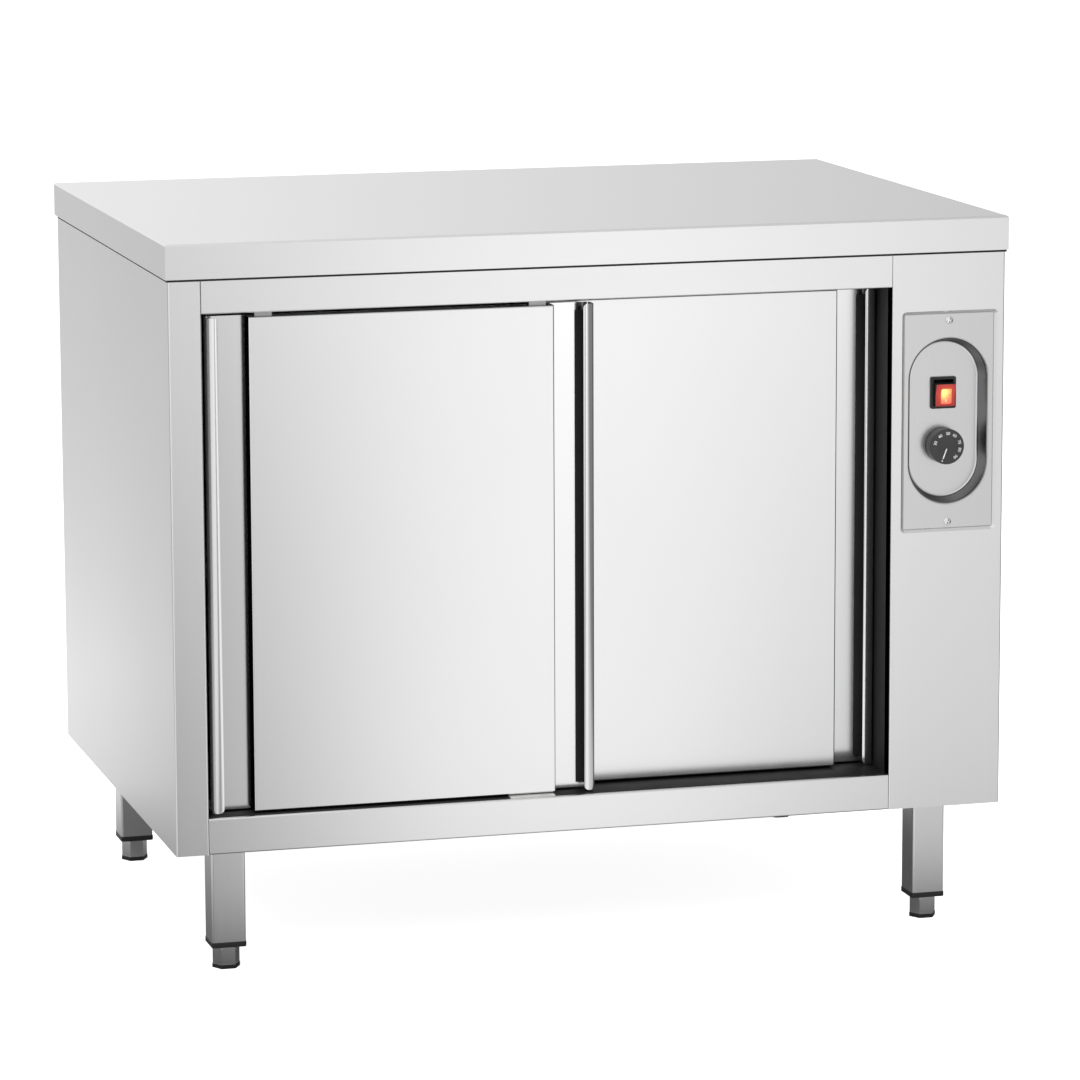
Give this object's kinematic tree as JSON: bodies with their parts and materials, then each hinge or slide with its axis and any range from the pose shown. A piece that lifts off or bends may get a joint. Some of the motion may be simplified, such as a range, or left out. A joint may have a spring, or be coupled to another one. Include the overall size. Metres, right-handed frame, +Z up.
{
  "type": "plate warmer cabinet",
  "caption": "Stainless hot cupboard with worktop, top-hung sliding doors with rolled grips, a recessed control panel and square legs on levelling feet.",
  "frame": {"origin": "on the floor, under the middle of the worktop", "axes": "+X to the right as seen from the front, -Y to the front, +Z up"},
  "size_m": [1, 0.7, 0.85],
  "materials": {
    "stainless": "satin",
    "liner_steel": "satin",
    "galvanised": "matte",
    "track_aluminium": "satin",
    "black_plastic": "matte",
    "black_rubber": "matte",
    "dial_black": "satin",
    "red_lens": "gloss",
    "white_nylon": "satin",
    "mineral_wool": "matte",
    "foot_grey": "satin",
    "element_steel": "matte",
    "terminal_white": "satin",
    "zinc_screws": "satin",
    "fan_aluminium": "satin"
  },
  "bodies": {
    "cabinet": {"worktop": "stainless", "worktop_stiffeners": "galvanised", "left_side_panel": "stainless", "right_side_panel": "stainless", "back_panel": "stainless", "bottom_panel": "galvanised", "top_rail": "stainless", "bottom_rail": "stainless", "track_beam": "galvanised", "liner_left": "liner_steel", "liner_right": "liner_steel", "liner_back": "liner_steel", "liner_floor": "liner_steel", "liner_ceiling": "liner_steel", "insulation": "mineral_wool", "base_channels": "galvanised", "shelf": "liner_steel", "shelf_supports": "liner_steel", "door_tracks": "track_aluminium", "track_stops": "black_rubber", "bottom_guide": "white_nylon", "leg_front_left": "stainless", "leg_front_right": "stainless", "leg_back_left": "stainless", "leg_back_right": "stainless", "leg_bolts": "zinc_screws", "leg_caps": "black_plastic", "control_plate": "stainless", "control_plate_screws": "zinc_screws", "switch_housing": "black_plastic", "capillary_thermostat": "black_plastic", "heater_box": "galvanised", "heating_element": "element_steel", "fan_motor": "galvanised", "safety_thermostat": "black_plastic", "terminal_block": "terminal_white", "cable_gland": "black_plastic", "back_screws": "zinc_screws"},
    "left_door": {"left_door_panel": "stainless", "left_door_back": "stainless", "left_door_insulation": "mineral_wool", "left_door_hangers": "zinc_screws", "left_door_guide": "stainless"},
    "right_door": {"right_door_panel": "stainless", "right_door_back": "stainless", "right_door_insulation": "mineral_wool", "right_door_hangers": "zinc_screws", "right_door_guide": "stainless"},
    "left_roller_a": {"left_door_roller_a": "white_nylon"},
    "left_roller_b": {"left_door_roller_b": "white_nylon"},
    "right_roller_a": {"right_door_roller_a": "white_nylon"},
    "right_roller_b": {"right_door_roller_b": "white_nylon"},
    "rocker": {"switch_rocker": "red_lens"},
    "dial": {"thermostat_shaft": "zinc_screws", "thermostat_knob": "dial_black"},
    "fan": {"fan_impeller": "fan_aluminium"},
    "foot_fl": {"foot_front_left": "foot_grey"},
    "foot_fr": {"foot_front_right": "foot_grey"},
    "foot_bl": {"foot_back_left": "foot_grey"},
    "foot_br": {"foot_back_right": "foot_grey"}
  },
  "joints": [
    {"name": "left_door_slide", "type": "slide", "parent": "cabinet", "child": "left_door", "axis": [1, 0, 0], "range_m": [0, 0.355]},
    {"name": "right_door_slide", "type": "slide", "parent": "cabinet", "child": "right_door", "axis": [1, 0, 0], "range_m": [-0.355, 0]},
    {"name": "left_roller_a_turn", "type": "hinge", "parent": "left_door", "child": "left_roller_a", "pos_m": [-0.385, -0.324, 0.79], "axis": [0, 1, 0], "range_deg": [0, 2145]},
    {"name": "left_roller_b_turn", "type": "hinge", "parent": "left_door", "child": "left_roller_b", "pos_m": [-0.065, -0.324, 0.79], "axis": [0, 1, 0], "range_deg": [0, 2145]},
    {"name": "right_roller_a_turn", "type": "hinge", "parent": "right_door", "child": "right_roller_a", "pos_m": [-0.03, -0.283, 0.79], "axis": [0, 1, 0], "range_deg": [-2145, 0]},
    {"name": "right_roller_b_turn", "type": "hinge", "parent": "right_door", "child": "right_roller_b", "pos_m": [0.29, -0.283, 0.79], "axis": [0, 1, 0], "range_deg": [-2145, 0]},
    {"name": "switch_rock", "type": "hinge", "parent": "cabinet", "child": "rocker", "pos_m": [0.4295, -0.3202, 0.6415], "axis": [1, 0, 0], "range_deg": [-16, 0]},
    {"name": "thermostat_turn", "type": "hinge", "parent": "cabinet", "child": "dial", "pos_m": [0.4295, -0.33, 0.5795], "axis": [0, 1, 0], "range_deg": [0, 270]},
    {"name": "fan_spin", "type": "hinge", "parent": "cabinet", "child": "fan", "pos_m": [0.389, 0.027, 0.33], "axis": [1, 0, 0], "continuous": true},
    {"name": "foot_fl_screw", "type": "slide", "parent": "cabinet", "child": "foot_fl", "axis": [0, 0, 1], "range_m": [-0.02, 0]},
    {"name": "foot_fr_screw", "type": "slide", "parent": "cabinet", "child": "foot_fr", "axis": [0, 0, 1], "range_m": [-0.02, 0]},
    {"name": "foot_bl_screw", "type": "slide", "parent": "cabinet", "child": "foot_bl", "axis": [0, 0, 1], "range_m": [-0.02, 0]},
    {"name": "foot_br_screw", "type": "slide", "parent": "cabinet", "child": "foot_br", "axis": [0, 0, 1], "range_m": [-0.02, 0]}
  ],
  "couplings": [
    {"joint": "left_roller_a_turn", "follows": "left_door_slide", "rad_per_m": 105.26},
    {"joint": "left_roller_b_turn", "follows": "left_door_slide", "rad_per_m": 105.26},
    {"joint": "right_roller_a_turn", "follows": "right_door_slide", "rad_per_m": 105.26},
    {"joint": "right_roller_b_turn", "follows": "right_door_slide", "rad_per_m": 105.26}
  ]
}
